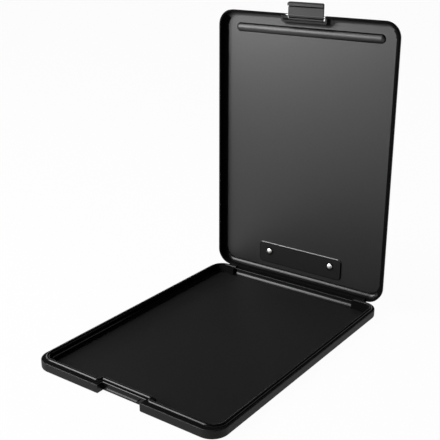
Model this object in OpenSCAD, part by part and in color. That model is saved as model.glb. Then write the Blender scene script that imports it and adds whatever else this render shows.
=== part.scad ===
// Storage clipboard box: a slim tray with a hinged lid, a latch flap and a low-profile spring clip.
// X runs along the hinge, the latch edge faces -Y, Z is up. The lid stands open, its latch swung out.

/* [Shells] */
// Outside width of the tray and the lid, along the hinge
body_w = 240; // [225:1:260]
// Outside length of the tray and the lid, from hinge edge to latch edge
body_l = 335; // [300:1:345]
// Radius of the four corners, seen from above
corner_r = 19; // [17:0.5:23]

/* [Tray] */
// Height of the ledge that the lid closes on
ledge_h = 10.5; // [10:0.1:12]
// Width of the tray rim, from the outer face to the inner wall
rim_w = 7.5; // [7:0.1:8.5]
// Width of the tray rim along the latch edge
front_rim_w = 10.2; // [9.6:0.1:10.8]
// Radius of the ledge's outer edge
ledge_edge_r = 1.2; // [0.6:0.1:1.6]
// Thickness of the tray floor
floor_t = 2.5; // [2:0.1:3]
// Radius of the cove between the tray's inner wall and its floor
tray_cove_r = 5; // [3:0.1:5.5]
// Radius of the tray's outer bottom edge
foot_r = 2.5; // [1:0.1:3]
// Radius of the bead that locates the lid
bead_r = 2.3; // [1.8:0.1:2.4]
// Height of the bead above the ledge
bead_h = 2; // [1.4:0.1:2.2]

/* [Lid] */
// Thickness of the lid, from its lip to its outer face
lid_t = 12.5; // [12:0.1:13.5]
// Thickness of the lid's lip and side walls
lip_t = 2.5; // [2.2:0.1:2.7]
// Thickness of the lid's panel
panel_t = 2.2; // [2:0.1:2.4]
// Radius of the lid's outer back edge
lid_edge_r = 9; // [7:0.1:10.2]
// Radius of the cove between the lid's side walls and its panel
lid_cove_r = 5; // [4:0.1:5.5]
// Gap between the closed lid's lip and the tray's ledge
lip_gap = 0.2; // [0.1:0.05:0.4]

/* [Hinge] */
// Radius of the hinge barrel and of the tray's lugs
barrel_r = 3.5; // [3.2:0.1:3.8]
// Distance of the barrel's flat underside from the hinge axis
barrel_flat = 2.5; // [2.3:0.1:3]
// Distance of the hinge barrel's ends from the lid's sides
barrel_side = 33; // [30:0.5:45]
// Length of each tray lug, along the hinge
lug_len = 13; // [10:0.5:14]
// Diameter of the hinge pins
hinge_pin_d = 2.5; // [2:0.1:3]
// Length of each hinge pin
hinge_pin_len = 27; // [22:0.5:30]
// How far the blocks beside the hinge stand in from the tray's rear wall
hinge_block_y = 5; // [3:0.1:8]

/* [Latch] */
// Width of the latch flap
flap_w = 46.8; // [40:0.1:50]
// Thickness of the latch flap
flap_t = 2.2; // [2:0.1:2.4]
// Reach of the flap beyond its pivot
flap_reach = 15.6; // [15:0.1:15.9]
// Length of the flap behind its pivot
flap_tail = 4.5; // [4.2:0.1:4.6]
// Gap between the flap's ends and the notch that it swings in
flap_gap = 4.6; // [3:0.1:6]
// Depth of the notch in the lid
notch_d = 7.4; // [7.3:0.1:7.6]
// Depth of the recess in the tray, behind the flap
tray_recess_d = 8.5; // [8:0.1:9]
// Distance of the flap's pivot from the latch edge
pivot_in = 2; // [2:0.1:2.1]
// Depth of the flap's pivot behind the lid's lip
pivot_d = 5.6; // [5.4:0.1:5.8]
// Depth of the flap's inner face behind the lid's lip
flap_face_d = 3.8; // [3.7:0.1:3.9]
// Length of the hook, along the flap
hook_len = 4.4; // [4:0.1:4.6]
// How far the hook stands out from the flap
hook_h = 2.1; // [1.8:0.1:2.2]
// Width of the grooves under the hook and above the flap's tail
groove_w = 1.1; // [0.8:0.1:1.3]
// Depth of those grooves
groove_t = 0.8; // [0.4:0.1:1]
// How far the tray's catch rib stands out beyond the floor of the lid's notch
catch_h = 2.4; // [2.1:0.1:2.6]
// Height of the catch rib
catch_t = 1.6; // [1.2:0.1:2]
// How far the catch rib's ends stay short of the flap's ends
catch_side = 3.4; // [1:0.1:8]
// Diameter of the latch pin
latch_pin_d = 1.8; // [1.6:0.1:2]
// How far the latch pin enters the lid on each side
latch_pin_hold = 2; // [1.5:0.1:2.2]
// Depth of the finger mark under the hook
mark_t = 0.5; // [0.2:0.1:0.8]

/* [Pen groove] */
// Distance of the pen bar's ends from the lid's sides
pen_side = 19.5; // [17.5:0.5:40]
// Distance of the pen groove from the latch edge
pen_in = 21; // [20:0.1:24]
// Radius of the bar inside the lid
pen_bar_r = 6; // [5.6:0.1:6.4]
// How far the bar stands in from the lid's panel
pen_bar_h = 3.2; // [2.8:0.1:3.6]
// Thickness of the bar's wall
pen_wall = 1.8; // [1.6:0.1:2.2]

/* [Clip seat] */
// How far the raised seat inside the lid reaches beyond the recess behind it
seat_wall = 1; // [0.8:0.1:2]
// Length of the seat, away from the hinge
seat_l = 28; // [27:0.5:30]
// Distance of the seat's near edge from the hinge edge
seat_in = 13; // [12:0.5:15]
// Corner radius of the seat
seat_r = 5; // [4:0.5:7]
// How far the seat stands in from the lid's panel
seat_h = 1.5; // [1:0.1:1.8]
// Depth of the seat's recess in the outer face
recess_d = 1.2; // [0.8:0.1:1.6]
// Gap between the clip's base plate and its recess, all round
recess_gap = 0.5; // [0.3:0.1:1]

/* [Clip] */
// Thickness of the clip's base plate
plate_t = 1; // [0.8:0.1:1.2]
// How far the base plate reaches beyond the jaw's ends
plate_over = 0.5; // [0.5:0.1:2]
// Thickness of the clip's jaw
jaw_t = 1.2; // [1:0.1:1.4]
// Width of the clip's jaw
jaw_w = 116; // [112:0.5:120]
// Height of the jaw's underside above the lid's outer face
jaw_rise = 7.5; // [7.4:0.1:8]
// Distance of the jaw's lever edge from the hinge edge
lever_in = 10; // [9:0.1:12]
// Distance of the jaw's clamping edge from the hinge edge
clamp_in = 50; // [48:0.1:54]
// Distance of the clip's pivot from the hinge edge
clip_pivot_in = 22; // [21:0.1:23]
// Height of the clip's pivot above the lid's outer face
clip_pivot_h = 3.8; // [3.7:0.1:4]
// Diameter of the clip's pin
clip_pin_d = 3; // [2.6:0.1:3.2]
// How far the base plate's ears stand in from the jaw's ends
ear_side = 6; // [4:0.5:9]
// Radius of the ears and of the jaw's cheeks about the pivot
ear_r = 3.2; // [3:0.1:3.3]
// Length of the jaw's curved nose, along the lid
nose_len = 14; // [12:0.5:16]
// Radius of the bend in the thumb lever
lever_r = 5; // [4:0.5:7]
// Width of each rubber pad, along the jaw
pad_w = 14; // [10:0.5:18]
// Thickness of each rubber pad
pad_t = 0.8; // [0.6:0.1:1]
// Wire diameter of the torsion springs
wire_d = 1; // [0.8:0.1:1.1]
// Number of turns in each torsion spring
spring_turns = 6; // [4:1:8]
// Distance of each torsion spring from the jaw's end
spring_side = 34; // [20:0.5:40]

/* [Rivets] */
// Distance of each rivet from the jaw's end
rivet_side = 13.5; // [12:0.5:18]
// Distance of the rivets from the hinge edge
rivet_in = 29.5; // [28:0.1:31]
// Diameter of the rivet shanks
rivet_d = 3.5; // [3:0.1:4]
// Diameter of the rivet heads
rivet_head_d = 7; // [6:0.1:8]
// Height of the rivet heads
rivet_head_h = 1.1; // [0.8:0.1:1.3]
// Diameter of the washers under the rivet heads
washer_d = 10.5; // [9.5:0.1:11]
// Thickness of the washers
washer_t = 0.5; // [0.4:0.1:0.7]

/* [Clearances] */
// Radial gap round a barrel that turns inside another piece's cut-out
turn_gap = 0.4; // [0.3:0.05:0.5]
// Gap at each end of a barrel or an ear that turns beside another
end_gap = 0.3; // [0.2:0.05:0.5]
// Radial gap of a pin in the bore that turns on it
running_gap = 0.05; // [0.03:0.01:0.1]

/* [Hidden] */

shell_colour = [0.09, 0.09, 0.1];
steel_colour = [0.75, 0.76, 0.78];
rubber_colour = [0.05, 0.05, 0.05];
dark_colour = [0.15, 0.15, 0.16];

// Margin by which a cutter passes the face that it cuts
past = 1;
// Angle between the closed lid and the lid as it stands here
open_angle = 90;

// Heights in the lid, measured from the hinge axis when the lid is closed
lid_top = lip_gap + lid_t;
panel_z = lid_top - panel_t;
lid_inner_r = corner_r - lip_t;

// The latch edge, the notch's floor and the half width of the notch
notch_y = -body_l + notch_d;
notch_half = flap_w/2 + flap_gap;
pivot_y = -body_l + pivot_in;
pivot_z = lip_gap + pivot_d;
flap_face_z = lip_gap + flap_face_d;
notch_r = lip_t;
flap_barrel_r = pivot_in;
catch_w = flap_w - 2*catch_side;
pen_len = body_w - 2*pen_side;

// The bead's centre line, in from the tray's outer face
bead_in = rim_w - bead_r - 0.1;
bead_front_in = front_rim_w - bead_r - 0.1;
bead_z = ledge_h + bead_h - bead_r;
bead_jog_r = (tray_recess_d + bead_in - bead_front_in)/2;
bead_jog_x = notch_half + bead_in;
catch_reach = tray_recess_d - notch_d + catch_h;

hinge_half = body_w/2 - barrel_side;
lug_x = hinge_half + end_gap;
cut_r = barrel_r + turn_gap;

// The clip, measured from the hinge axis when the lid is closed
seat_z = panel_z - seat_h;
recess_z = lid_top - recess_d;
plate_w = jaw_w + 2*plate_over;
recess_w = plate_w + 2*recess_gap;
seat_w = recess_w + 2*seat_wall;
recess_l = seat_l - 2*seat_wall;
plate_l = recess_l - 2*recess_gap;
ear_span = jaw_w - 2*ear_side;
rivet_span = jaw_w - 2*rivet_side;
spring_x = jaw_w/2 - spring_side;
plate_top = recess_z + plate_t;
clip_pivot_z = lid_top + clip_pivot_h;
jaw_z = lid_top + jaw_rise;
cheek_x = ear_span/2 - plate_t - end_gap - jaw_t;
clamp_z = lid_top + 0.1;
nose_y = nose_len - clamp_in;
nose_h = jaw_z - clamp_z - pad_t;
nose_r = (nose_h*nose_h + nose_len*nose_len)/2/nose_h;
spring_r = clip_pin_d/2 + 0.6 + wire_d/2;

// The whole part spans from the latch edge of the tray to the back of the clip's jaw
back_y = jaw_z + jaw_t;
shift_y = (body_l - back_y)/2;

$fn = 96;

// Places the whole part with the middle of its footprint at the origin
module placed() {
  translate([0, shift_y, 0]) children();
}

// Stands a piece of the lid, drawn closed with the hinge axis along X, at its open angle
module on_lid() {
  placed() translate([0, 0, ledge_h]) rotate([-open_angle, 0, 0]) children();
}

// Slab with round corners, centred in X, from y = 0 towards the latch edge
module slab(w, l, r, h) {
  translate([-w/2 + r, -l, 0]) cube([w - 2*r, l, h]);
  translate([-w/2, -l + r, 0]) cube([w, l - 2*r, h]);
  for (x = [-w/2 + r, w/2 - r], y = [-l + r, -r])
    translate([x, y, 0]) cylinder(r = r, h = h);
}

// Sweeps a section round a slab's edge: its X runs inward from the slab's side, its Y upward
module around(w, l, r) {
  for (c = [[w/2, 0, 0], [-w/2, 0, 90], [-w/2, -l, 180], [w/2, -l, 270]])
    translate([c[0] - sign(c[0])*r, c[1] < 0 ? c[1] + r : -r, 0]) rotate(c[2])
      rotate_extrude(angle = 90) translate([r, 0]) mirror([1, 0]) children();
  translate([w/2, -r, 0]) rotate([90, 0, 0]) linear_extrude(l - 2*r) mirror([1, 0]) children();
  translate([-w/2, -r, 0]) rotate([90, 0, 0]) linear_extrude(l - 2*r) children();
  translate([r - w/2, 0, 0]) rotate([90, 0, 90]) linear_extrude(w - 2*r) mirror([1, 0]) children();
  translate([r - w/2, -l, 0]) rotate([90, 0, 90]) linear_extrude(w - 2*r) children();
}

// Section between a corner and the round that touches both of its sides
module spandrel(r) {
  difference() {
    translate([-past, -past]) square(r + past);
    translate([r, r]) circle(r);
  }
}

// Rod of radius r along X, from x0 to x1
module rod(r, x0, x1) {
  translate([min(x0, x1), 0, 0]) rotate([0, 90, 0]) cylinder(r = r, h = abs(x1 - x0));
}

// Extrudes a side profile, drawn with X along Y and Y up, over the width w about the middle
module across(w) {
  translate([-w/2, 0, 0]) rotate([90, 0, 90]) linear_extrude(w) children();
}

module both_sides() {
  children();
  mirror([1, 0, 0]) children();
}

// ---- Tray ----

// One half of the bead, on the +X side, stepping in round the latch recess
module bead_half() {
  r = corner_r - bead_in;
  side_x = body_w/2 - bead_in;
  translate([hinge_half + end_gap, -bead_in, 0]) rod(bead_r, 0, side_x - r - hinge_half - end_gap);
  for (y = [-bead_in - r, -body_l + bead_front_in + r])
    translate([side_x - r, y, 0]) rotate(y > -body_l/2 ? 0 : 270)
      rotate_extrude(angle = 90) translate([r, 0]) circle(bead_r);
  translate([side_x, -bead_in - r, 0]) rotate([90, 0, 0])
    cylinder(r = bead_r, h = body_l - bead_in - bead_front_in - 2*r);
  translate([0, -body_l + bead_front_in, 0]) {
    rod(bead_r, bead_jog_x + bead_jog_r, side_x - r);
    translate([bead_jog_x + bead_jog_r, bead_jog_r, 0]) rotate(180)
      rotate_extrude(angle = 90) translate([bead_jog_r, 0]) circle(bead_r);
    translate([bead_jog_x - bead_jog_r, bead_jog_r, 0])
      rotate_extrude(angle = 90) translate([bead_jog_r, 0]) circle(bead_r);
    translate([0, 2*bead_jog_r, 0]) rod(bead_r, 0, bead_jog_x - bead_jog_r);
  }
}

// Wall that steps in behind the latch recess, with its cove
module recess_wall() {
  w = 2*(bead_jog_x + bead_jog_r);
  l = tray_recess_d + rim_w;
  translate([-w/2, -body_l + foot_r, floor_t/2]) cube([w, l - foot_r, ledge_h - floor_t/2]);
  translate([0, -body_l + l, floor_t]) across(w) spandrel(tray_cove_r);
}

// Rib under which the hook comes to rest
module catch_rib() {
  low = ledge_h + pivot_z - flap_reach + hook_len + end_gap;
  translate([0, -body_l + tray_recess_d, low]) across(catch_w)
    polygon([[past, 0], [-catch_reach, 0], [-catch_reach, catch_t/2],
             [catch_h - catch_reach, catch_t], [past, catch_t]]);
}

module base_tray() {
  inner_w = body_w - 2*rim_w;
  inner_l = body_l - rim_w - front_rim_w;
  block_w = inner_w/2 - lug_x;
  color(shell_colour) placed() {
    difference() {
      union() {
        difference() {
          slab(body_w, body_l, corner_r, ledge_h);
          translate([0, -rim_w, floor_t]) slab(inner_w, inner_l, corner_r - rim_w, ledge_h);
          around(body_w, body_l, corner_r) spandrel(foot_r);
          translate([0, 0, ledge_h]) mirror([0, 0, 1])
            around(body_w, body_l, corner_r) spandrel(ledge_edge_r);
        }
        translate([0, -rim_w, floor_t]) around(inner_w, inner_l, corner_r - rim_w) spandrel(tray_cove_r);
        recess_wall();
        both_sides() {
          translate([0, 0, bead_z]) bead_half();
          translate([0, 0, ledge_h]) rod(barrel_r, lug_x, lug_x + lug_len);
          translate([lug_x, -rim_w - hinge_block_y, floor_t/2])
            cube([block_w, rim_w/2 + hinge_block_y, ledge_h - floor_t/2]);
        }
      }
      translate([-notch_half, -body_l - past, -past])
        cube([2*notch_half, tray_recess_d + past, ledge_h + bead_h + 2*past]);
      translate([0, 0, ledge_h]) rod(cut_r, -lug_x, lug_x);
      both_sides() translate([0, 0, ledge_h]) rod(hinge_pin_d/2, lug_x - past, lug_x + lug_len + past);
    }
    catch_rib();
  }
}

// ---- Lid, drawn closed ----

module capsule(len, r) {
  rod(r, -len/2 + r, len/2 - r);
  for (x = [-len/2 + r, len/2 - r]) translate([x, 0, 0]) sphere(r);
}

// Wall round the notch, with a cove all along it against the lid's panel
module notch_block() {
  w = 2*(notch_half + lip_t);
  l = notch_d + lip_t;
  translate([0, notch_y + lip_t, 0]) slab(w, l, notch_r, panel_z);
  translate([0, notch_y + lip_t, panel_z]) mirror([0, 0, 1]) {
    across(w - 2*notch_r) spandrel(lid_cove_r);
    both_sides() {
      translate([w/2 - notch_r, -notch_r, 0]) rotate_extrude(angle = 90)
        translate([notch_r, 0]) spandrel(lid_cove_r);
      translate([w/2, -notch_r, 0]) rotate([90, 0, 0]) linear_extrude(l - notch_r) spandrel(lid_cove_r);
    }
  }
}

// Hinge barrel, its underside flat where it faces into the open box
module lid_barrel() {
  intersection() {
    rod(barrel_r, -hinge_half, hinge_half);
    across(2*hinge_half + 2*past) translate([-barrel_r - past, -barrel_flat])
      square(2*barrel_r + 2*past);
  }
}

// Everything that the lid holds clear inside: its hollow, less the features that stand in it
module lid_hollow() {
  inner_w = body_w - 2*lip_t;
  inner_l = body_l - 2*lip_t;
  bar_z = panel_z - pen_bar_h + pen_bar_r;
  difference() {
    translate([0, -lip_t, 0]) slab(inner_w, inner_l, lid_inner_r, panel_z);
    translate([0, -lip_t, panel_z]) mirror([0, 0, 1])
      around(inner_w, inner_l, lid_inner_r) spandrel(lid_cove_r);
    notch_block();
    translate([0, pen_in - body_l, bar_z]) capsule(pen_len, pen_bar_r);
    translate([0, -seat_in, seat_z]) slab(seat_w, seat_l, seat_r, seat_h + past);
  }
}

module lid_shell() {
  bar_z = panel_z - pen_bar_h + pen_bar_r;
  groove_r = pen_bar_r - pen_wall;
  color(shell_colour) on_lid() difference() {
    union() {
      difference() {
        translate([0, 0, lip_gap]) slab(body_w, body_l, corner_r, lid_t);
        translate([0, 0, lid_top]) mirror([0, 0, 1]) around(body_w, body_l, corner_r) spandrel(lid_edge_r);
        lid_hollow();
      }
      lid_barrel();
    }
    // Latch notch and the bores of its pin
    translate([0, notch_y, -past]) slab(2*notch_half, notch_d + 2*lip_t, lip_t/2, lid_top + 2*past);
    translate([0, pivot_y, pivot_z])
      rod(latch_pin_d/2, -notch_half - latch_pin_hold, notch_half + latch_pin_hold);
    // Pen groove and clip recess in the outer face
    translate([0, pen_in - body_l, bar_z]) capsule(pen_len - 2*pen_wall, groove_r);
    translate([0, -seat_in - seat_wall, recess_z])
      slab(recess_w, recess_l, seat_r - seat_wall, recess_d + past);
    for (x = [-rivet_span/2, rivet_span/2])
      translate([x, -rivet_in, seat_z - past]) cylinder(r = rivet_d/2, h = panel_t + seat_h + 2*past);
    // Room for the tray's lugs, and the bore of the hinge pins
    both_sides() rod(cut_r, hinge_half, lug_x + lug_len + end_gap);
    both_sides() rod(hinge_pin_d/2 + running_gap, lug_x + lug_len - hinge_pin_len - past, hinge_half + past);
  }
}

module hinge_pin(side) {
  color(steel_colour) placed() translate([0, 0, ledge_h])
    rod(hinge_pin_d/2, side*(lug_x + lug_len), side*(lug_x + lug_len - hinge_pin_len));
}

// ---- Latch, drawn with the lid closed and the flap swung out ----

module flap_outline() {
  tip = -flap_reach;
  face = -(pivot_d - flap_face_d);
  difference() {
    translate([tip, face]) square([flap_reach + flap_tail, flap_t]);
    for (x = [tip + hook_len, flap_tail - 2*groove_w])
      translate([x, face - past]) square([groove_w, groove_t + past]);
  }
  circle(flap_barrel_r);
  polygon([[tip, face + flap_t/2], [tip, face - hook_h/4], [tip + hook_len/2, face - hook_h],
           [tip + hook_len, face - hook_h], [tip + hook_len, face + flap_t/2]]);
}

// Lens-shaped finger mark, cut into the flap's inner face just under the hook
module finger_mark() {
  r = 32;
  h = 2;
  translate([0, -flap_reach + hook_len + groove_w + 0.2 + h/2, -(pivot_d - flap_face_d) - past])
    intersection() {
      for (y = [h/2 - r, r - h/2]) translate([0, y, 0]) cylinder(r = r, h = mark_t + past);
    }
}

module latch() {
  r = 2;
  color(shell_colour) on_lid() translate([0, pivot_y, pivot_z]) difference() {
    intersection() {
      across(flap_w) flap_outline();
      translate([0, flap_tail, -lid_t]) slab(flap_w, flap_reach + flap_tail, r, 2*lid_t);
    }
    finger_mark();
    rod(latch_pin_d/2 + running_gap, -flap_w/2 - past, flap_w/2 + past);
  }
}

module latch_pin() {
  x = notch_half + latch_pin_hold;
  color(steel_colour) on_lid() translate([0, pivot_y, pivot_z]) rod(latch_pin_d/2, -x, x);
}

// ---- Clip, drawn on the closed lid ----

// Side profile of a tab with a round end about the pivot, standing on the height foot
module tab(r, foot) {
  circle(r);
  translate([-r, foot < clip_pivot_z ? foot - clip_pivot_z : 0]) square([2*r, abs(foot - clip_pivot_z)]);
}

// Places a side profile, drawn about the pivot, as a sheet of thickness t from x outward
module sheet_at(x, t) {
  translate([x, -clip_pivot_in, clip_pivot_z]) rotate([90, 0, 90]) linear_extrude(t) children();
}

module clip_base_plate() {
  color(steel_colour) on_lid() difference() {
    union() {
      translate([0, -seat_in - seat_wall - recess_gap, recess_z])
        slab(plate_w, plate_l, seat_r - seat_wall - recess_gap, plate_t);
      both_sides() sheet_at(ear_span/2 - plate_t, plate_t) tab(ear_r, recess_z + plate_t/2);
    }
    for (x = [-rivet_span/2, rivet_span/2])
      translate([x, -rivet_in, recess_z - past]) cylinder(r = rivet_d/2, h = plate_t + 2*past);
    translate([0, -clip_pivot_in, clip_pivot_z]) rod(clip_pin_d/2, -ear_span/2 - past, ear_span/2 + past);
  }
}

// Side profile of the jaw's curved nose: a bent sheet between two radii
module nose(r0, r1, low) {
  intersection() {
    translate([nose_y, jaw_z - nose_r]) difference() {
      circle(r1);
      circle(r0);
    }
    translate([nose_y - nose_r - jaw_t, low]) square([nose_r + jaw_t, jaw_z + jaw_t + past - low]);
  }
}

// Side profile of the jaw: thumb lever, flat top and nose
module jaw_outline() {
  flat_y = -lever_in - lever_r;
  translate([nose_y, jaw_z]) square([flat_y - nose_y, jaw_t]);
  nose(nose_r, nose_r + jaw_t, clamp_z + pad_t);
  intersection() {
    translate([flat_y, jaw_z - lever_r]) difference() {
      circle(lever_r + jaw_t);
      circle(lever_r);
    }
    translate([flat_y, jaw_z - lever_r]) polygon([[0, 0], [0, 2*lever_r], [2*lever_r, 2*lever_r]]);
  }
}

module clip_jaw() {
  color(steel_colour) on_lid() difference() {
    union() {
      across(jaw_w) jaw_outline();
      both_sides() sheet_at(cheek_x, jaw_t) tab(ear_r, jaw_z + jaw_t/2);
    }
    translate([0, -clip_pivot_in, clip_pivot_z])
      rod(clip_pin_d/2 + running_gap, -cheek_x - jaw_t - past, cheek_x + jaw_t + past);
  }
}

module clip_hinge_pin() {
  color(steel_colour) on_lid() translate([0, -clip_pivot_in, clip_pivot_z]) {
    rod(clip_pin_d/2, -ear_span/2 - past/2, ear_span/2 + past/2);
    both_sides() rod(clip_pin_d/2 + 0.7, ear_span/2, ear_span/2 + 0.8);
  }
}

// One ring of points round the spring's wire: at the angle t, x along the coil, l along a leg
function wire_ring(x, t, l) = [for (k = [0:7])
  let (rr = spring_r + wire_d/2*cos(45*k))
  [x + wire_d/2*sin(45*k), rr*cos(t) + l*sin(t), rr*sin(t) - l*cos(t)]];

// Torsion spring: the coil, and two legs that push the jaw's lever up from the plate
module spring() {
  t0 = 95;
  t1 = 260 + 360*(spring_turns - 1);
  n = 16*spring_turns;
  pitch = wire_d*1.08/360;
  x0 = -pitch*(t1 - t0)/2;
  rings = concat([wire_ring(x0, t0, 6)],
                 [for (i = [0:n]) let (t = t0 + (t1 - t0)*i/n) wire_ring(x0 + pitch*(t - t0), t, 0)],
                 [wire_ring(-x0, t1, -5)]);
  faces = concat([[for (k = [0:7]) k]],
                 [for (i = [0:n + 1], k = [0:7])
                   [8*i + k, 8*i + 8 + k, 8*i + 8 + (k + 1)%8, 8*i + (k + 1)%8]],
                 [[for (k = [7:-1:0]) 8*(n + 2) + k]]);
  polyhedron([for (ring = rings) each ring], faces, convexity = 10);
}

module clip_spring(x) {
  color(steel_colour) on_lid() translate([x, -clip_pivot_in, clip_pivot_z]) spring();
}

// Rubber sleeve over a corner of the jaw's nose
module clip_pad(side) {
  color(rubber_colour) on_lid() translate([side*(jaw_w - pad_w)/2, 0, 0]) across(pad_w)
    difference() {
      intersection() {
        nose(nose_r - pad_t, nose_r + jaw_t + pad_t, clamp_z);
        translate([-2*clamp_in, 0]) square([2*clamp_in, clamp_z + 4*pad_t]);
      }
      nose(nose_r, nose_r + jaw_t, clamp_z + pad_t);
    }
}

// Rivet through the plate, the seat and the washer, with its domed head inside the lid
module clip_rivet(side) {
  head_z = seat_z - washer_t;
  ball = (rivet_head_d*rivet_head_d/4 + rivet_head_h*rivet_head_h)/2/rivet_head_h;
  color(steel_colour) on_lid() translate([side*rivet_span/2, -rivet_in, 0]) {
    intersection() {
      translate([0, 0, head_z - rivet_head_h + ball]) sphere(ball);
      translate([0, 0, head_z - 2*rivet_head_h]) cylinder(r = rivet_head_d/2, h = 2*rivet_head_h);
    }
    translate([0, 0, head_z - rivet_head_h/2])
      cylinder(r = rivet_d/2, h = plate_top - head_z + rivet_head_h/2);
    translate([0, 0, plate_top]) cylinder(r = rivet_d/2 + 1.2, h = 0.7);
  }
}

module rivet_washer(side) {
  color(dark_colour) on_lid() translate([side*rivet_span/2, -rivet_in, seat_z - washer_t]) difference() {
    cylinder(r = washer_d/2, h = washer_t);
    translate([0, 0, -past]) cylinder(r = rivet_d/2, h = washer_t + 2*past);
  }
}

module hinge_pin_left() { hinge_pin(-1); }
module hinge_pin_right() { hinge_pin(1); }
module clip_spring_left() { clip_spring(-spring_x); }
module clip_spring_right() { clip_spring(spring_x); }
module clip_pad_left() { clip_pad(-1); }
module clip_pad_right() { clip_pad(1); }
module clip_rivet_left() { clip_rivet(-1); }
module clip_rivet_right() { clip_rivet(1); }
module rivet_washer_left() { rivet_washer(-1); }
module rivet_washer_right() { rivet_washer(1); }

base_tray();
lid_shell();
hinge_pin_left();
hinge_pin_right();
latch();
latch_pin();
clip_base_plate();
clip_jaw();
clip_hinge_pin();
clip_spring_left();
clip_spring_right();
clip_pad_left();
clip_pad_right();
clip_rivet_left();
clip_rivet_right();
rivet_washer_left();
rivet_washer_right();
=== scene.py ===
import math
import bpy
import bmesh
from mathutils import Matrix, Vector


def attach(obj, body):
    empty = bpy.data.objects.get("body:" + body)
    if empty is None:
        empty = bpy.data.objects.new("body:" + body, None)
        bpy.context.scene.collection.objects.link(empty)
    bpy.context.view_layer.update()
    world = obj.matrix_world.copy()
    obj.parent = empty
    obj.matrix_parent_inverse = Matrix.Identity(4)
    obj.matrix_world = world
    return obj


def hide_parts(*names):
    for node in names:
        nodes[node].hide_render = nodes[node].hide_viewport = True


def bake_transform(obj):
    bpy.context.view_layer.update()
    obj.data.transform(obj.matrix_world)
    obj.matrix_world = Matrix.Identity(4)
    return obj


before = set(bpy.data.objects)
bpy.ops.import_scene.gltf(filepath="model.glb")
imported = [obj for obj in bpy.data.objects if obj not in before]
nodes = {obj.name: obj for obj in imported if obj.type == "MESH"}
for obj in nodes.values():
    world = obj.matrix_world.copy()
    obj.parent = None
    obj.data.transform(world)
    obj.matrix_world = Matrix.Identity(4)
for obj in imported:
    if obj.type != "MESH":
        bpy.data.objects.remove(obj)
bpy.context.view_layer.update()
scene = bpy.context.scene
mm = 0.001

# the hinge axis, and how far the lid stands open; the hinge's own faces lie within reach of the axis
# and half of the middle
hinge = {"y": 156.8, "z": 10.5, "openDegrees": 90, "reach": 4.2, "half": 100.5}
onTray = Matrix.Translation((0, hinge["y"] * mm, 0)) @ Matrix.Scale(mm, 4)
onLid = (Matrix.Translation((0, hinge["y"] * mm, hinge["z"] * mm))
         @ Matrix.Rotation(-math.radians(hinge["openDegrees"]), 4, "X") @ Matrix.Scale(mm, 4))

# place in mm, turn in radians, and what it sees from and to in m
view = {"place": (503.473, -705.327, 450.587), "turn": (1.226931, -0.00144, 0.625209), "lens": 69.06,
        "sensor": 36, "from": 0.01, "to": 60}
cameraData = bpy.data.cameras.new("productCamera")
cameraData.lens = view["lens"]
cameraData.sensor_width = view["sensor"]
cameraData.clip_start = view["from"]
cameraData.clip_end = view["to"]
camera = bpy.data.objects.new("productCamera", cameraData)
camera.location = Vector(view["place"]) * mm
camera.rotation_euler = view["turn"]
scene.collection.objects.link(camera)
scene.camera = camera
scene.view_settings.view_transform = "Standard"
print("camera placed")

# modelling helpers; everything is in mm until place()
weld = 1e-4     # points nearer than this become one
cadWeld = 2e-6  # the same for a CAD node, in metres
past = 1        # how far a tool stands past what it cuts or joins
beyond = 60     # where a cutting block's far sides are, well clear of the piece
hold = 0.8      # a flat strip beside each round, which keeps the round's shading off the panel
upright = 0.99  # how far a normal has to look one way to count as that way


def leaveEdit():
    if bpy.context.mode != "OBJECT":
        bpy.ops.object.mode_set(mode="OBJECT")


def activate(obj):
    bpy.ops.object.select_all(action="DESELECT")
    obj.select_set(True)
    bpy.context.view_layer.objects.active = obj
    return obj


def fresh(name):
    # names a new primitive and puts its place and size into its mesh
    obj = bpy.context.active_object
    obj.name = name
    obj.data.name = name
    bpy.ops.object.transform_apply(location=True, rotation=True, scale=True)
    return obj


def pick(obj, kind, test, among=False):
    # selects the faces or points that pass the test; among keeps to what is selected already
    bpy.ops.mesh.select_mode(type=kind)
    if not among:
        bpy.ops.mesh.select_all(action="DESELECT")
    mesh = bmesh.from_edit_mesh(obj.data)
    for thing in (mesh.faces if kind == "FACE" else mesh.verts):
        thing.select_set((thing.select or not among) and bool(test(thing)))
    mesh.select_flush_mode()
    bmesh.update_edit_mesh(obj.data)


def pickFaces(obj, test):
    pick(obj, "FACE", lambda face: test(face.calc_center_median(), face.normal))


def pickPoints(obj, test, among=False):
    pick(obj, "VERT", lambda vert: test(vert.co), among)


def weldPoints(obj, limit):
    activate(obj)
    bpy.ops.object.mode_set(mode="EDIT")
    bpy.ops.mesh.select_all(action="SELECT")
    bpy.ops.mesh.remove_doubles(threshold=limit)
    bpy.ops.object.mode_set(mode="OBJECT")


def roundPlate(name, width, length, radius, height, steps, nearY=0):
    # a flat plate with round corners, from nearY towards the latch, left in edit mode
    bpy.ops.mesh.primitive_plane_add(size=1, location=(0, nearY - length / 2, height))
    bpy.context.active_object.scale = (width, length, 1)
    obj = fresh(name)
    bpy.ops.object.mode_set(mode="EDIT")
    bpy.ops.mesh.select_mode(type="VERT")
    bpy.ops.mesh.select_all(action="SELECT")
    bpy.ops.mesh.bevel(offset=radius, segments=steps, affect="VERTICES", profile=0.5, clamp_overlap=False)
    return obj


def arc(inward, height, radius, fromDegrees, toDegrees, steps):
    # a round in a profile, about the point (inward, height)
    points = []
    for i in range(steps + 1):
        a = math.radians(fromDegrees + (toDegrees - fromDegrees) * i / steps)
        points.append((inward + radius * math.cos(a), height + radius * math.sin(a)))
    return points


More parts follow.
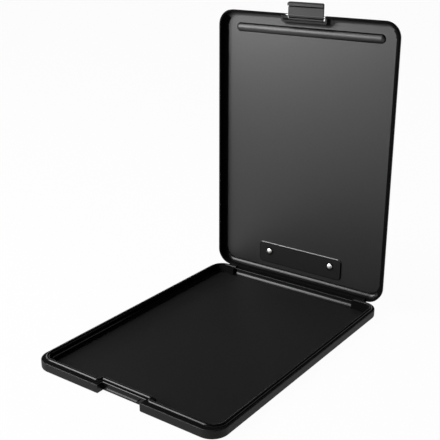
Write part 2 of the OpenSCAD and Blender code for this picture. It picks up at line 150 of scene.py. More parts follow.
def followProfile(points, up):
    # points are (distance in from the outline, height); up is the way that the chosen face looks
    for (s0, z0), (s1, z1) in zip(points, points[1:]):
        if s1 - s0 < weld:
            bpy.ops.mesh.extrude_region_move(TRANSFORM_OT_translate={"value": (0, 0, z1 - z0)})
        else:
            bpy.ops.mesh.inset(thickness=s1 - s0, depth=(z1 - z0) * up, use_even_offset=True,
                               use_boundary=True)


def pickCap(obj, up):
    # the outermost face that looks up or down
    mesh = bmesh.from_edit_mesh(obj.data)
    level = [face for face in mesh.faces if face.normal.z * up > upright]
    height = max(face.calc_center_median().z * up for face in level)
    pickFaces(obj, lambda co, normal: normal.z * up > upright and co.z * up > height - 10 * weld)


def thicken(obj, low):
    # closes the plate down to the height low, with its faces looking out
    bpy.ops.mesh.select_all(action="SELECT")
    top = bmesh.from_edit_mesh(obj.data).verts[:][0].co.z
    bpy.ops.mesh.extrude_region_move(TRANSFORM_OT_translate={"value": (0, 0, low - top)})
    bpy.ops.mesh.select_all(action="SELECT")
    bpy.ops.mesh.normals_make_consistent(inside=False)


def cutOrJoin(obj, tool, operation):
    leaveEdit()
    modifier = obj.modifiers.new(operation, "BOOLEAN")
    modifier.operation = operation
    modifier.solver = "EXACT"
    modifier.object = tool
    activate(obj)
    bpy.ops.object.modifier_apply(modifier=modifier.name)
    bpy.data.objects.remove(tool)


def block(name, low, high, edge=0.0):
    size = [b - a for a, b in zip(low, high)]
    middle = [(a + b) / 2 for a, b in zip(low, high)]
    bpy.ops.mesh.primitive_cube_add(size=1, location=middle)
    bpy.context.active_object.scale = size
    obj = fresh(name)
    if edge:
        bpy.ops.object.mode_set(mode="EDIT")
        bpy.ops.mesh.select_all(action="SELECT")
        bpy.ops.mesh.bevel(offset=edge, segments=2, affect="EDGES", profile=0.5)
        bpy.ops.object.mode_set(mode="OBJECT")
    return obj


def rod(name, radius, x0, x1, y, z, edge=0.0, sides=64):
    bpy.ops.mesh.primitive_cylinder_add(vertices=sides, radius=radius, depth=abs(x1 - x0),
                                        location=((x0 + x1) / 2, y, z), rotation=(0, math.pi / 2, 0))
    obj = fresh(name)
    if edge:
        bpy.ops.object.mode_set(mode="EDIT")
        pickFaces(obj, lambda co, normal: abs(normal.x) > upright)
        bpy.ops.mesh.bevel(offset=edge, segments=3, affect="EDGES", profile=0.5)
        bpy.ops.object.mode_set(mode="OBJECT")
    return obj


def capsule(name, radius, length, y, z):
    # a rod along x with round ends
    bpy.ops.mesh.primitive_uv_sphere_add(segments=64, ring_count=32, radius=radius,
                                         location=(0, 0, 0), rotation=(0, math.pi / 2, 0))
    obj = fresh(name)
    bpy.ops.object.mode_set(mode="EDIT")
    for side in (-1, 1):
        pickPoints(obj, lambda co: co.x * side > weld)
        bpy.ops.transform.translate(value=(side * (length / 2 - radius), 0, 0))
    bpy.ops.mesh.select_all(action="SELECT")
    bpy.ops.transform.translate(value=(0, y, z))
    bpy.ops.object.mode_set(mode="OBJECT")
    return obj


def joinInto(obj, parts):
    leaveEdit()
    activate(obj)
    for part in parts:
        part.select_set(True)
    bpy.ops.object.join()
    return obj


def breakEdges(obj, width, sharpDegrees, steps):
    bevel = obj.modifiers.new("brokenEdges", "BEVEL")
    bevel.width = width
    bevel.segments = steps
    bevel.limit_method = "ANGLE"
    bevel.angle_limit = math.radians(sharpDegrees)
    bpy.ops.object.modifier_apply(modifier=bevel.name)


def place(obj, matrix, body, finishes, smoothDegrees=32):
    # puts a finished piece in its place in metres, with its shading and its materials
    leaveEdit()
    obj.data.transform(matrix)
    obj.data.update()
    activate(obj)
    bpy.ops.object.shade_smooth_by_angle(angle=math.radians(smoothDegrees))
    weighted = obj.modifiers.new("evenNormals", "WEIGHTED_NORMAL")
    weighted.keep_sharp = True
    bpy.ops.object.modifier_apply(modifier=weighted.name)
    for finish in finishes:
        obj.data.materials.append(finish)
    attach(obj, body)
    return obj


def linear(hexValue):
    # an sRGB hex colour as a linear one
    parts = [int(hexValue[i:i + 2], 16) / 255 for i in (1, 3, 5)]
    return tuple(c / 12.92 if c <= 0.04045 else ((c + 0.055) / 1.055) ** 2.4 for c in parts) + (1,)


def addNode(tree, kind, values={}, links={}, **settings):
    node = tree.nodes.new(kind)
    for key, value in settings.items():
        setattr(node, key, value)
    for key, value in values.items():
        node.inputs[key].default_value = value
    for key, (source, socket) in links.items():
        tree.links.new(source.outputs[socket], node.inputs[key])
    return node


def startMaterial(name):
    made = bpy.data.materials.new(name)
    made.use_nodes = True
    tree = made.node_tree
    tree.nodes.clear()
    return made, tree


# nearly all of a noise lies in noiseSpan; the dark skins' colour drifts driftPerMetre times a metre
noiseSpan = (0.3, 0.7)
darkSkins = {"ior": 1.54, "driftPerMetre": 14.0, "driftDetail": 3.0,
             "grainDetail": 2.0, "grainRoughness": 0.55}
steels = {"stretch": 0.04, "detail": 3.0, "bump": 0.6, "roughShare": 0.25}


def darkSkin(name, dark, light, rough, roughSpan, grainMm, grainDepth, shine=0.5):
    # a hard dark skin such as moulded ABS: a spark-eroded tool leaves a fine, even grain on it; the
    # real grain is about 0.1 mm, too fine to show, so it is drawn some ten times coarser
    made, tree = startMaterial(name)
    coords = addNode(tree, "ShaderNodeTexCoord")
    grain = addNode(tree, "ShaderNodeTexNoise",
                    {"Scale": 1 / (grainMm * mm), "Detail": darkSkins["grainDetail"],
                     "Roughness": darkSkins["grainRoughness"]}, {"Vector": (coords, "Object")})
    drift = addNode(tree, "ShaderNodeTexNoise",
                    {"Scale": darkSkins["driftPerMetre"], "Detail": darkSkins["driftDetail"]},
                    {"Vector": (coords, "Object")})
    tint = addNode(tree, "ShaderNodeMix", {"A": linear(dark), "B": linear(light)},
                   {"Factor": (drift, "Fac")}, data_type="RGBA")
    matt = addNode(tree, "ShaderNodeMapRange",
                   {"From Min": noiseSpan[0], "From Max": noiseSpan[1],
                    "To Min": rough - roughSpan, "To Max": rough + roughSpan}, {"Value": (grain, "Fac")})
    bump = addNode(tree, "ShaderNodeBump", {"Strength": 1.0, "Distance": grainDepth * mm},
                   {"Height": (grain, "Fac")})
    surface = addNode(tree, "ShaderNodeBsdfPrincipled",
                      {"IOR": darkSkins["ior"], "Metallic": 0.0, "Specular IOR Level": shine},
                      {"Base Color": (tint, "Result"), "Roughness": (matt, "Result"),
                       "Normal": (bump, "Normal")})
    addNode(tree, "ShaderNodeOutputMaterial", {}, {"Surface": (surface, "BSDF")})
    return made


def drawnSteel(name, dark, light, rough, lineMm, lineDepth, axis):
    # steel shows fine lines along the axis that it was drawn or rolled in; the real ones are about
    # 0.05 mm apart, too fine to show, so they are drawn some ten times further apart
    made, tree = startMaterial(name)
    coords = addNode(tree, "ShaderNodeTexCoord")
    stretch = [1.0, 1.0, 1.0]
    stretch[axis] = steels["stretch"]
    along = addNode(tree, "ShaderNodeMapping", {"Scale": stretch}, {"Vector": (coords, "Object")})
    lines = addNode(tree, "ShaderNodeTexNoise", {"Scale": 1 / (lineMm * mm), "Detail": steels["detail"]},
                    {"Vector": (along, "Vector")})
    tint = addNode(tree, "ShaderNodeMix", {"A": linear(dark), "B": linear(light)},
                   {"Factor": (lines, "Fac")}, data_type="RGBA")
    matt = addNode(tree, "ShaderNodeMapRange",
                   {"From Min": noiseSpan[0], "From Max": noiseSpan[1],
                    "To Min": rough * (1 - steels["roughShare"]),
                    "To Max": rough * (1 + steels["roughShare"])}, {"Value": (lines, "Fac")})
    bump = addNode(tree, "ShaderNodeBump", {"Strength": steels["bump"], "Distance": lineDepth * mm},
                   {"Height": (lines, "Fac")})
    surface = addNode(tree, "ShaderNodeBsdfPrincipled", {"Metallic": 1.0},
                      {"Base Color": (tint, "Result"), "Roughness": (matt, "Result"),
                       "Normal": (bump, "Normal")})
    addNode(tree, "ShaderNodeOutputMaterial", {}, {"Surface": (surface, "BSDF")})
    return made


# ABS from a polished tool: a deep black with a clear highlight, on the bead and the round inner walls
polishedAbs = darkSkin("polishedBlackAbs", "#070708", "#0a0a0b", rough=0.22, roughSpan=0.02,
                       grainMm=1.6, grainDepth=0.001, shine=0.2)
# ABS from a finely spark-eroded tool: a satin sheen that fades down the inside of the lid
texturedAbs = darkSkin("sparkTexturedBlackAbs", "#101011", "#131314", rough=0.44, roughSpan=0.05,
                       grainMm=0.7, grainDepth=0.02)
# ABS from a coarsely spark-eroded tool: matt, on the outside and the tray's floor
coarseAbs = darkSkin("coarseTexturedBlackAbs", "#101011", "#131314", rough=0.55, roughSpan=0.06,
                     grainMm=0.9, grainDepth=0.03, shine=0.18)
# the latch's own tool is a little finer than that, so it shines a little more
flapAbs = darkSkin("fineTexturedBlackAbs", "#101011", "#131314", rough=0.5, roughSpan=0.05,
                   grainMm=0.8, grainDepth=0.02, shine=0.3)
# painted shade: a near-black ABS with next to no sheen, laid where shade falls: in hollows, grooves and
# creases, the lid's side coves and lip band, the clip seat's side edges, round the hinge and on the tray's
# ledge top
paintedShadeAbs = darkSkin("paintedShadeBlackAbs", "#0b0b0c", "#0e0e0f", rough=0.7, roughSpan=0.05,
                   grainMm=0.9, grainDepth=0.03, shine=0.02)
# painted highlight: a paler, shinier black ABS along one edge, the clip seat's edge that faces the latch,
# standing in for the highlight there
paintedHighlightAbs = darkSkin("paintedHighlightBlackAbs", "#2e2e2f", "#3c3c3d", rough=0.3, roughSpan=0.04,
                     grainMm=0.6, grainDepth=0.004, shine=0.9)
# rolled steel sheet, nickel plated: bright, faintly warm, with soft lines across the clip
nickelSteel = drawnSteel("nickelPlatedSteelSheet", "#c9c8c4", "#d8d7d3", rough=0.16,
                         lineMm=0.5, lineDepth=0.0015, axis=0)
# bright drawn wire: a neutral grey with fine lines along each pin
wireSteel = drawnSteel("brightDrawnSteelWire", "#a9a9a8", "#bdbdbb", rough=0.26,
                       lineMm=0.4, lineDepth=0.003, axis=0)
# oiled spring wire: darker and bluer than the pins
springSteel = drawnSteel("oiledSpringSteelWire", "#77787a", "#8c8d8f", rough=0.3,
                         lineMm=0.4, lineDepth=0.003, axis=0)
# a rivet tumbled before it is plated: pale and even, with no clear highlight
rivetSteel = drawnSteel("tumbledNickelRivet", "#efeeea", "#f6f5f2", rough=0.5,
                        lineMm=0.6, lineDepth=0.001, axis=2)
# blackened steel: its thin oxide is a hard black with a faint shine
washerBlack = darkSkin("blackenedSteelWasher", "#050505", "#080808", rough=0.3, roughSpan=0.05,
                       grainMm=0.5, grainDepth=0.004, shine=0.1)
# moulded nitrile rubber: a soft-looking black, dry and matt
padRubber = darkSkin("mouldedNitrileRubber", "#141414", "#191919", rough=0.62, roughSpan=0.06,
                     grainMm=0.5, grainDepth=0.01)
print("materials made")


# the tray; heights are above the table, y is 0 at the hinge and falls towards the latch
tray = {"width": 240, "length": 335, "corner": 19, "cornerSteps": 16, "edge": 0.4, "edgeSteps": 4,
        "ledge": 10.5, "ledgeEdge": 1.2, "ledgeSteps": 6, "rim": 7.5, "frontRim": 10.2,
        "floor": 2.5, "cove": 5, "coveSteps": 12, "foot": 2.5, "footSteps": 8,
        "beadR": 2.3, "beadSteps": 8, "beadIn": 5.1, "beadFront": 7.8, "beadZ": 10.2, "jogSteps": 10,
        "recessHalf": 28, "recessDepth": 8.5, "recessTo": 45,
        "lugFrom": 87.3, "lugTo": 100.3, "lugR": 3.5, "lugEdge": 0.3, "roomR": 3.9, "roomSides": 96,
        "blockDepth": 5, "blockEdge": 0.35, "ribHalf": 20, "ribFrom": -330, "ribTo": -326, "ribCrest": -328.7,
        "ribLow": 5.4, "ribHigh": 7, "ribFall": 0.8, "ribEdge": 0.15,
        # where finishes change: the outer skin, the smallest panel and the corner beside the hinge
        "skin": 1.25, "panelArea": 20, "besideX": 87, "besideY": -14, "besideIn": 7}


def makeTray(t):
    length, ledge, edge, outer = t["length"], t["ledge"], t["edge"], t["ledgeEdge"]
    obj = roundPlate("trayShell", t["width"], length, t["corner"], ledge - outer, t["cornerSteps"])
    half, recessY = t["recessHalf"], t["recessDepth"] - length
    for x in (-half, half):
        bpy.ops.mesh.select_all(action="SELECT")
        bpy.ops.mesh.bisect(plane_co=(x, 0, 0), plane_no=(1, 0, 0))
    pickFaces(obj, lambda co, normal: abs(co.x) < half - past)
    bpy.ops.mesh.bisect(plane_co=(0, recessY, 0), plane_no=(0, 1, 0))
    pickFaces(obj, lambda co, normal: co.y < recessY)
    bpy.ops.mesh.delete(type="FACE")
    bpy.ops.mesh.select_all(action="SELECT")
    bpy.ops.mesh.dissolve_faces()
    bpy.ops.mesh.select_all(action="SELECT")
    bpy.ops.mesh.remove_doubles(threshold=weld)
    thicken(obj, t["foot"])
    pickCap(obj, 1)
    rim, floor, cove = t["rim"], t["floor"], t["cove"]
    followProfile(arc(outer, ledge - outer, outer, 180, 90, t["ledgeSteps"]) + [(rim - edge, ledge)], 1)

    # the rim is wider along the latch edge, so its inner line slides in there
    def insideRim(co, normal):
        return normal.z > upright and abs(co.x) < t["width"] / 4 and abs(co.y + length / 2) < length / 4

    def latchLine(co):
        return co.y + length < (rim + past if abs(co.x) <= t["recessTo"] else t["corner"] + past)

    pickFaces(obj, insideRim)
    pickPoints(obj, latchLine, among=True)
    bpy.ops.transform.translate(value=(0, t["frontRim"] - rim, 0))
    pickFaces(obj, insideRim)
    followProfile(arc(rim - edge, ledge - edge, edge, 90, 0, t["edgeSteps"])
                  + arc(rim + cove, floor + cove, cove, 180, 270, t["coveSteps"])
                  + [(rim + cove + hold, floor)], 1)
    pickCap(obj, -1)
    foot = t["foot"]
    followProfile(arc(foot, foot, foot, 180, 270, t["footSteps"]) + [(foot + hold, 0)], -1)
    bpy.ops.object.mode_set(mode="OBJECT")

    # the blocks that carry the lugs, and room between them for the lid's barrel
    for side in (-1, 1):
        x0, x1 = sorted((side * t["lugFrom"], side * (t["width"] / 2 - rim + past)))
        low, high = (x0, -rim - t["blockDepth"], floor / 2), (x1, past - rim, ledge)
        cutOrJoin(obj, block("hingeBlock", low, high, t["blockEdge"]), "UNION")
    room = rod("hingeRoom", t["roomR"], -t["lugFrom"], t["lugFrom"], 0, hinge["z"], sides=t["roomSides"])
    cutOrJoin(obj, room, "DIFFERENCE")
    parts = [makeBead(t)]
    for side in (-1, 1):
        x0, x1 = side * t["lugFrom"], side * t["lugTo"]
        parts.append(rod("lug", t["lugR"], x0, x1, 0, hinge["z"], t["lugEdge"]))
    return joinInto(obj, parts + [makeRib(t)])


def makeRib(t):
    # the latch's hook holds this rib, which falls away towards the edge
    half = t["ribHalf"]
    obj = block("catchRib", (-half, t["ribFrom"], t["ribLow"]), (half, t["ribTo"], t["ribHigh"]))
    bpy.ops.object.mode_set(mode="EDIT")
    bpy.ops.mesh.select_all(action="SELECT")
    bpy.ops.mesh.bisect(plane_co=(0, t["ribCrest"], 0), plane_no=(0, 1, 0))
    edgeY, middleZ = (t["ribFrom"] + t["ribCrest"]) / 2, (t["ribLow"] + t["ribHigh"]) / 2
    pickPoints(obj, lambda co: co.y < edgeY and co.z > middleZ)
    bpy.ops.transform.translate(value=(0, 0, -t["ribFall"]))
    bpy.ops.mesh.select_all(action="SELECT")
    bpy.ops.mesh.bevel(offset=t["ribEdge"], segments=2, affect="EDGES")
    bpy.ops.object.mode_set(mode="OBJECT")
    return obj


def quarterTurn(steps):
    return [math.pi / 2 * i / steps for i in range(steps + 1)]


def makeBead(t):
    # the round bead on the rim, from one lug round the latch's recess to the other
    length, inset, front = t["length"], t["beadIn"], t["beadFront"]
    r, cornerX = t["corner"] - inset, t["width"] / 2 - t["corner"]
    jog, jogX = (t["recessDepth"] + inset - front) / 2, t["recessHalf"] + inset
    corner, bend = quarterTurn(t["cornerSteps"]), quarterTurn(t["jogSteps"])
    half = [(t["lugFrom"], -inset)]
    half += [(cornerX + r * math.sin(a), -t["corner"] + r * math.cos(a)) for a in corner]
    half += [(cornerX + r * math.cos(a), front + r - length - r * math.sin(a)) for a in corner]
    half += [(jogX + jog - jog * math.sin(a), front + jog - length - jog * math.cos(a)) for a in bend]
    half += [(jogX - jog + jog * math.cos(a), front + jog - length + jog * math.sin(a)) for a in bend[1:]]
    path = half + [(-x, y) for x, y in reversed(half)]
    curve = bpy.data.curves.new("bead", "CURVE")
    curve.dimensions = "3D"
    spline = curve.splines.new("POLY")
    spline.points.add(len(path) - 1)
    for point, (x, y) in zip(spline.points, path):
        point.co = (x, y, t["beadZ"], 1)
    curve.bevel_depth = t["beadR"]
    curve.bevel_resolution = t["beadSteps"]
    curve.use_fill_caps = True
    obj = bpy.data.objects.new("bead", curve)
    scene.collection.objects.link(obj)
    activate(obj)
    bpy.ops.object.convert(target="MESH")
    obj = bpy.context.active_object
    weldPoints(obj, weld)
    bpy.ops.object.mode_set(mode="EDIT")
    bpy.ops.mesh.select_all(action="SELECT")
    bpy.ops.mesh.normals_make_consistent(inside=False)
    bpy.ops.object.mode_set(mode="OBJECT")
    return obj


# the shells' finishes by slot; the other values are parts of a face's normal, and a margin in mm
finishSlots = {"polished": 0, "textured": 1, "coarse": 2, "paintedShade": 3, "paintedHighlight": 4}
facing = {"level": 0.999, "steep": 0.97, "tilted": 0.02, "toLatch": 0.9, "paintedHighlight": 0.3}
margin = 0.05


def insetOf(co, t):
    # how far a point lies in from the piece's outline
    x, y = abs(co.x), abs(co.y + t["length"] / 2)
    dx, dy = x - t["width"] / 2 + t["corner"], y - t["length"] / 2 + t["corner"]
    if dx > 0 and dy > 0:
        return t["corner"] - math.hypot(dx, dy)
    return min(t["width"] / 2 - x, t["length"] / 2 - y)


def atHinge(x, y, fromAxis):
    return math.hypot(y, fromAxis) < hinge["reach"] and abs(x) < hinge["half"]


def trayFinish(face, t):
    x, y, z = face.center
    up, inset = face.normal.z, insetOf(face.center, t)
    level = abs(up) > facing["level"]
    besideHinge = (abs(x) > t["besideX"] and y > t["besideY"] and inset > t["besideIn"]
                   and z > t["floor"] + 2 * margin)
    # the corner blocks beside the hinge, the hinge's gap and the ledge's top get painted shade
    if besideHinge or atHinge(x, y, z - hinge["z"]) or (level and z > t["ledge"] - t["edge"]):
        return "paintedShade"
    skin = inset < t["skin"] and abs(up) < facing["steep"]
    floor = level and face.area > t["panelArea"] and z < t["floor"] + margin
    return "coarse" if skin or floor or up < -facing["tilted"] else "polished"


def lidFinish(face, t):
    x, y, z = face.center
    up, inset, fromLatch = face.normal.z, insetOf(face.center, t), y + t["length"]
    level = abs(up) > facing["level"]
    skin = inset < t["skin"] and abs(up) < facing["steep"]
    width, length = t["seat"][:2]
    seat = (abs(x) < width / 2 + margin and -margin < -t["seatIn"] - y < length + margin
            and t["seatZ"] - margin < z < t["panel"] - margin)
    # the seat's edge that looks towards the latch gets a painted highlight, and its other edges get painted
    # shade
    if seat and not level:
        return "paintedHighlight" if face.normal.y < -facing["paintedHighlight"] else "paintedShade"

    # at a corner the side's finish and the latch edge's part along the diagonal
    aside = abs(x) - t["width"] / 2 + t["corner"]
    inCove = z < t["panel"] + margin
    sideCove = (inCove and inset < t["lip"] + t["cove"] + margin
                and aside > y + t["corner"] and aside > t["corner"] - fromLatch)
    latchCove = inCove and z > t["coveFrom"] and fromLatch < t["coveTo"] and aside <= t["corner"] - fromLatch
    bar = (abs(x) < t["barLength"] / 2 + margin and abs(fromLatch - t["barIn"]) < t["barR"]
           and t["barZ"] - t["barR"] < z < t["barTo"])
    barFoot = bar and not level and z > t["barFootFrom"]
    hollow = latchCove and abs(x) < t["notchHalf"] + margin and face.normal.y < -facing["toLatch"]
    lipBand = inset < t["lip"] + margin and z < t["gap"] + t["thick"] - t["back"] + margin
    innerSide = sideCove and not skin and up < facing["tilted"]
    # the side coves' inner faces, the pen bar's foot, the notch's wall, the lip's band and the hinge get
    # painted shade
    if innerSide or barFoot or hollow or lipBand or atHinge(x, y, z):
        return "paintedShade"
    if skin or seat or up > facing["tilted"]:
        return "coarse"
    panel = level and face.area > t["panelArea"] and z > t["panel"] - margin
    return "textured" if panel or bar or latchCove else "polished"


def giveFinishes(obj, finishOf, t):
    for face in obj.data.polygons:
        face.material_index = finishSlots[finishOf(face, t)]


trayShell = makeTray(tray)
giveFinishes(trayShell, trayFinish, tray)
place(trayShell, onTray, "tray", [polishedAbs, texturedAbs, coarseAbs, paintedShadeAbs])
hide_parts("base_tray")
print("tray made")


# the lid, modelled closed on the tray and then stood open; heights are above the ledge, and the clip's
# seat and recess are each a width, a length and a corner
lid = {"width": 240, "length": 335, "corner": 19, "cornerSteps": 16, "edge": 0.4, "edgeSteps": 4,
       "gap": 0.2, "thick": 12.5, "lip": 2.5, "panel": 10.5, "cove": 5, "coveSteps": 12,
       "back": 9, "backSteps": 16,
       "notchHalf": 28, "notchDepth": 7, "notchCorner": 1.25, "notchOver": 20, "wallSteps": 10, "skim": 0.02,
       "barLength": 201, "barR": 6, "barIn": 21, "barZ": 13.3, "barSunk": 1.2,
       "grooveR": 4.2, "grooveLength": 197.4,
       "seat": (120, 28, 5), "seatIn": 13, "seatZ": 9, "seatEdge": 1, "seatSteps": 8,
       "recess": (118, 26, 4), "recessIn": 14, "recessZ": 11.5,
       "barrelHalf": 87, "barrelR": 3.5, "barrelFlat": 2.5, "barrelEdge": 0.3,
       "roomR": 3.9, "roomTo": 100.6, "roomSides": 96,
       # where finishes change: the outer skin, the smallest panel, the latch's cove and the pen bar's foot
       "skin": 1.25, "panelArea": 20, "coveFrom": 1.5, "coveTo": 17, "barTo": 12, "barFootFrom": 9.2}


def makeLid(t):
    length, top, edge, back = t["length"], t["gap"] + t["thick"], t["edge"], t["back"]
    lip, cove, panel, low = t["lip"], t["cove"], t["panel"], t["gap"] + edge
    obj = roundPlate("lidShell", t["width"], length, t["corner"], top - back, t["cornerSteps"])
    thicken(obj, low)
    pickCap(obj, -1)
    followProfile(arc(edge, low, edge, 180, 270, t["edgeSteps"])
                  + arc(lip - edge, low, edge, 270, 360, t["edgeSteps"])
                  + arc(lip + cove, panel - cove, cove, 180, 90, t["coveSteps"])
                  + [(lip + cove + hold, panel)], -1)
    pickCap(obj, 1)
    followProfile(arc(back, top - back, back, 180, 90, t["backSteps"]) + [(back + hold, top)], 1)
    bpy.ops.object.mode_set(mode="OBJECT")
    cutNotch(obj, t)
    addPenBar(obj, t)
    addClipSeat(obj, t)

    # room for the tray's lugs, and the barrel between them
    for side in (-1, 1):
        x0, x1 = side * t["barrelHalf"], side * t["roomTo"]
        cutOrJoin(obj, rod("lugRoom", t["roomR"], x0, x1, 0, 0, sides=t["roomSides"]), "DIFFERENCE")
    barrel = rod("barrel", t["barrelR"], -t["barrelHalf"], t["barrelHalf"], 0, 0, t["barrelEdge"])
    bpy.ops.object.mode_set(mode="EDIT")
    bpy.ops.mesh.select_all(action="SELECT")
    bpy.ops.mesh.bisect(plane_co=(0, 0, -t["barrelFlat"]), plane_no=(0, 0, 1), use_fill=True,
                        clear_inner=True)
    return joinInto(obj, [barrel])


def cutNotch(obj, t):
    # the notch for the latch, with a wall as thick as the lip and a cove all round it; the wall stands
    # a skim proud, so that no two faces lie in one plane where it joins the lid
    length, top, edge, low = t["length"], t["gap"] + t["thick"], t["edge"], t["gap"] + t["edge"]
    cove, panel, over, skim = t["cove"], t["panel"], t["notchOver"], t["skim"]
    out, depth, half = t["lip"] + cove, t["notchDepth"], t["notchHalf"]
    wall = roundPlate("notchWall", 2 * (half + out), depth + out + over, out, panel + past,
                      t["wallSteps"], depth - length + out)
    thicken(wall, panel + skim)
    pickCap(wall, -1)
    followProfile(arc(0, panel - cove + skim, cove, 90, 0, t["wallSteps"])
                  + arc(cove + edge, low + skim, edge, 180, 270, 3), -1)
    bpy.ops.object.mode_set(mode="OBJECT")
    front = block("frontOfWall", (-beyond, -beyond - length, -beyond), (beyond, past - length, beyond))
    cutOrJoin(wall, front, "DIFFERENCE")
    cutOrJoin(obj, wall, "UNION")
    notch = roundPlate("notch", 2 * half, depth + over, t["notchCorner"], top + past, 5, depth - length)
    thicken(notch, -past)
    cutOrJoin(obj, notch, "DIFFERENCE")


def addPenBar(obj, t):
    # the bar inside, with the groove that a pen lies in on its other side
    y = t["barIn"] - t["length"]
    bar = capsule("penBar", t["barR"], t["barLength"], y, t["barZ"])
    bpy.ops.object.mode_set(mode="EDIT")
    bpy.ops.mesh.select_all(action="SELECT")
    bpy.ops.mesh.bisect(plane_co=(0, 0, t["panel"] + t["barSunk"]), plane_no=(0, 0, 1), use_fill=True,
                        clear_outer=True)
    cutOrJoin(obj, bar, "UNION")
    cutOrJoin(obj, capsule("penGroove", t["grooveR"], t["grooveLength"], y, t["barZ"]), "DIFFERENCE")


def addClipSeat(obj, t):
    # the seat inside and the recess outside for the clip
    seatZ, edge = t["seatZ"], t["seatEdge"]
    seat = roundPlate("clipSeat", *t["seat"], t["panel"] + past, t["seatSteps"], -t["seatIn"])
    thicken(seat, seatZ + edge)
    pickCap(seat, -1)
    followProfile(arc(edge, seatZ + edge, edge, 180, 270, t["seatSteps"]), -1)
    cutOrJoin(obj, seat, "UNION")
    top = t["gap"] + t["thick"]
    recess = roundPlate("clipRecess", *t["recess"], top + past, t["seatSteps"], -t["recessIn"])
    thicken(recess, t["recessZ"])
    cutOrJoin(obj, recess, "DIFFERENCE")


lidShell = makeLid(lid)
giveFinishes(lidShell, lidFinish, lid)
place(lidShell, onLid, "lid", [polishedAbs, texturedAbs, coarseAbs, paintedShadeAbs, paintedHighlightAbs])
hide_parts("lid_shell")
print("lid made")


# the latch's flap, modelled in line with the lid; its hook goes over the tray's rib when it is turned in;
# the blocks that cut it reach cutHalf to each side and down to cutFrom, both clear of it
flap = {"width": 46.8, "tip": -348.6, "tail": -328.5, "corner": 2, "cornerSteps": 6,
        "edge": 0.3, "edgeDegrees": 35,
        "inner": 4, "outer": 6.2, "hookZ": 1.9, "hookTo": -344.2, "hookRise": 1.575, "hookSlope": 2.2,
        "pivotY": -333, "pivotZ": 5.8, "barrelR": 2, "boreR": 1, "boreSides": 48,
        "grooveWidth": 1.5, "grooveDepth": 1.2, "markY": -341.9, "markR": 1, "markHalf": 8, "markDepth": 0.5,
        "cutHalf": 40, "cutFrom": -5}


def grooveStarts(t):
    # one groove beside the hook and one near the tail
    return t["hookTo"], t["tail"] - 2 * t["grooveWidth"]


def makeFlap(t):
    obj = roundPlate("latchFlap", t["width"], t["tail"] - t["tip"], t["corner"], t["outer"],
                     t["cornerSteps"], t["tail"])
    thicken(obj, t["hookZ"])
    leaveEdit()
    wide = t["cutHalf"]
    over = block("overPlate", (-wide, t["hookTo"], t["cutFrom"]), (wide, 0, t["inner"]))
    cutOrJoin(obj, over, "DIFFERENCE")
    bpy.ops.object.mode_set(mode="EDIT")
    bpy.ops.mesh.select_all(action="SELECT")
    bpy.ops.mesh.bisect(plane_co=(0, t["tip"], t["hookZ"] + t["hookRise"]),
                        plane_no=(0, -t["hookRise"], -t["hookSlope"]), use_fill=True, clear_outer=True)
    bpy.ops.object.mode_set(mode="OBJECT")
    breakEdges(obj, t["edge"], t["edgeDegrees"], 3)
    half, y, z = t["width"] / 2, t["pivotY"], t["pivotZ"]
    cutOrJoin(obj, rod("flapBarrel", t["barrelR"], -half, half, y, z, t["edge"]), "UNION")
    bore = rod("flapBore", t["boreR"], -half - past, half + past, y, z, sides=t["boreSides"])
    cutOrJoin(obj, bore, "DIFFERENCE")
    for start in grooveStarts(t):
        low, high = (-wide, start, 0), (wide, start + t["grooveWidth"], t["inner"] + t["grooveDepth"])
        cutOrJoin(obj, block("flapGroove", low, high), "DIFFERENCE")
    markZ = t["inner"] + t["markDepth"]
    bpy.ops.mesh.primitive_cylinder_add(vertices=64, radius=t["markR"], depth=2 * past,
                                        location=(0, t["markY"], markZ - past))
    bpy.context.active_object.scale = (t["markHalf"] / t["markR"], 1, 1)
    cutOrJoin(obj, fresh("fingerMark"), "DIFFERENCE")
    return obj


def flapFinish(face, t):
    # the grooves and the walls of the finger's mark get painted shade, and the flap's own finish is its first
    x, y, z = face.center
    groove = (any(start - margin < y < start + t["grooveWidth"] + margin for start in grooveStarts(t))
              and z < t["inner"] + t["grooveDepth"] + margin)
    mark = (abs(x) < t["markHalf"] + 2 * margin and abs(y - t["markY"]) < t["markR"] + margin
            and z < t["inner"] + t["markDepth"] - margin)
    within = z > t["inner"] + margin and abs(x) < t["width"] / 2 - t["edge"] - 2 * margin
    return int(within and (groove or mark))


latchFlap = makeFlap(flap)
for face in latchFlap.data.polygons:
    face.material_index = flapFinish(face, flap)
place(latchFlap, onLid, "latch_flap", [flapAbs, paintedShadeAbs])
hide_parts("latch")
print("latch made")


# the clip's sheet metal gets broken edges; the frame has it in its place already
clip = {"plateEdge": 0.15, "plateSteps": 2, "jawEdge": 0.3, "jawSteps": 3,
        "edgeDegrees": 38, "flatDegrees": 1}


def refine(node, name, body, edge, steps, t):
    # a clean copy of a CAD node with its edges broken
    mesh = nodes[node].data.copy()
    mesh.materials.clear()
    obj = bpy.data.objects.new(name, mesh)
    scene.collection.objects.link(obj)
    weldPoints(obj, cadWeld)
    bpy.ops.object.mode_set(mode="EDIT")
    bpy.ops.mesh.dissolve_limited(angle_limit=math.radians(t["flatDegrees"]))
    bpy.ops.object.mode_set(mode="OBJECT")
    breakEdges(obj, edge * mm, t["edgeDegrees"], steps)
    place(obj, Matrix.Identity(4), body, [nickelSteel], t["edgeDegrees"])
    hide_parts(node)


refine("clip_base_plate", "clipPlate", "lid", clip["plateEdge"], clip["plateSteps"], clip)
refine("clip_jaw", "clipJaw", "jaw", clip["jawEdge"], clip["jawSteps"], clip)


# each spring is a welded, smoothed copy of its CAD node in spring wire; the copy stays whole and does not
# wind up with the jaw
springs = {"pivotY": 173.3, "pivotZ": 32.5, "innerR": 2.1, "smoothDegrees": 60}


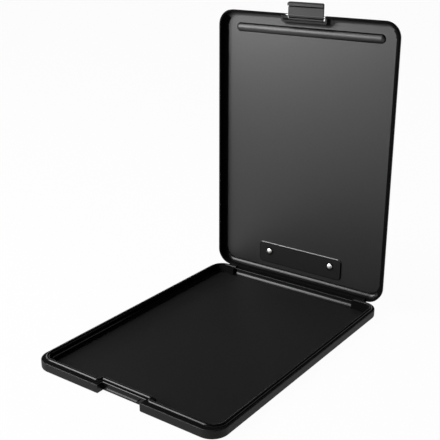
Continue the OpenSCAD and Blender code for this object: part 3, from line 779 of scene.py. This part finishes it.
def makeSpring(node, name, t):
    obj = bpy.data.objects.new(name, nodes[node].data.copy())
    scene.collection.objects.link(obj)
    weldPoints(obj, cadWeld)
    bpy.ops.object.shade_smooth_by_angle(angle=math.radians(t["smoothDegrees"]))
    obj.data.materials.clear()
    obj.data.materials.append(springSteel)
    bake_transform(obj)
    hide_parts(node)


makeSpring("clip_spring_left", "clipSpringLeft", springs)
makeSpring("clip_spring_right", "clipSpringRight", springs)

# the CAD nodes whose shapes are right get only a finish
nodeFinishes = {"hinge_pin_left": wireSteel, "hinge_pin_right": wireSteel, "latch_pin": wireSteel,
                "clip_hinge_pin": wireSteel, "clip_pad_left": padRubber, "clip_pad_right": padRubber,
                "clip_rivet_left": rivetSteel, "clip_rivet_right": rivetSteel,
                "rivet_washer_left": washerBlack, "rivet_washer_right": washerBlack}
for name, finish in nodeFinishes.items():
    nodes[name].data.materials.clear()
    nodes[name].data.materials.append(finish)
print("clip and small pieces made")


# sizes in m, lamps' powers in W
studio = {"floorGrey": "#c4c4c4", "paleness": 0.97, "worldGrey": 0.02,
          "floorSize": 24, "floorZ": -0.0004, "ringR": 11.5, "ringHeight": 2.6, "ringSides": 96}
lamps = {"keySoftbox": {"at": (-1.65, -1.02, 2.3), "aim": (0, 0, 0.1), "size": (1.3, 1.3), "power": 38},
         "lidSoftbox": {"at": (-0.66, -0.7, 0.6), "aim": (-0.06, 0.15, 0.36), "size": (0.6, 0.6),
                        "power": 17.5},
         "leftSoftbox": {"at": (-1.9, 0, 0.72), "aim": (0, 0, 0.05), "size": (1.1, 0.9), "power": 8}}


def makeStudio(s):
    # the floor and the ring round it look pale, in reflections too, and the floor keeps a soft shadow
    made, tree = startMaterial("palePaperBackdrop")
    path = addNode(tree, "ShaderNodeLightPath")
    paint = addNode(tree, "ShaderNodeBsdfDiffuse", {"Color": linear(s["floorGrey"])})
    glow = addNode(tree, "ShaderNodeEmission", {"Color": (1, 1, 1, 1), "Strength": 1.0})
    first = addNode(tree, "ShaderNodeMath", {}, {0: (path, "Is Camera Ray"), 1: (path, "Is Glossy Ray")},
                    operation="MAXIMUM")
    seen = addNode(tree, "ShaderNodeMath", {}, {0: (first, "Value"), 1: (path, "Is Transmission Ray")},
                   operation="MAXIMUM")
    part = addNode(tree, "ShaderNodeMath", {1: s["paleness"]}, {0: (seen, "Value")}, operation="MULTIPLY")
    mixed = addNode(tree, "ShaderNodeMixShader", {},
                    {0: (part, "Value"), 1: (paint, "BSDF"), 2: (glow, "Emission")})
    addNode(tree, "ShaderNodeOutputMaterial", {}, {"Surface": (mixed, "Shader")})
    bpy.ops.mesh.primitive_plane_add(size=s["floorSize"], location=(0, 0, s["floorZ"]))
    floor = fresh("studioFloor")
    bpy.ops.mesh.primitive_cylinder_add(vertices=s["ringSides"], radius=s["ringR"], depth=s["ringHeight"],
                                        end_fill_type="NOTHING", location=(0, 0, s["ringHeight"] / 2))
    ring = fresh("studioBackdrop")
    for thing in (floor, ring):
        thing.data.materials.append(made)


def makeWorld(s):
    world = bpy.data.worlds.new("dimStudio")
    scene.world = world
    world.use_nodes = True
    tree = world.node_tree
    tree.nodes.clear()
    dim = addNode(tree, "ShaderNodeBackground", {"Color": (1, 1, 1, 1), "Strength": s["worldGrey"]})
    addNode(tree, "ShaderNodeOutputWorld", {}, {"Surface": (dim, "Background")})


def makeLamp(name, t):
    data = bpy.data.lights.new(name, "AREA")
    data.shape = "RECTANGLE"
    data.size, data.size_y = t["size"]
    data.energy = t["power"]
    lamp = bpy.data.objects.new(name, data)
    lamp.location = t["at"]
    lamp.rotation_euler = (Vector(t["aim"]) - Vector(t["at"])).to_track_quat("-Z", "Y").to_euler()
    scene.collection.objects.link(lamp)


makeStudio(studio)
makeWorld(studio)
for name, lamp in lamps.items():
    makeLamp(name, lamp)
print("studio lit")
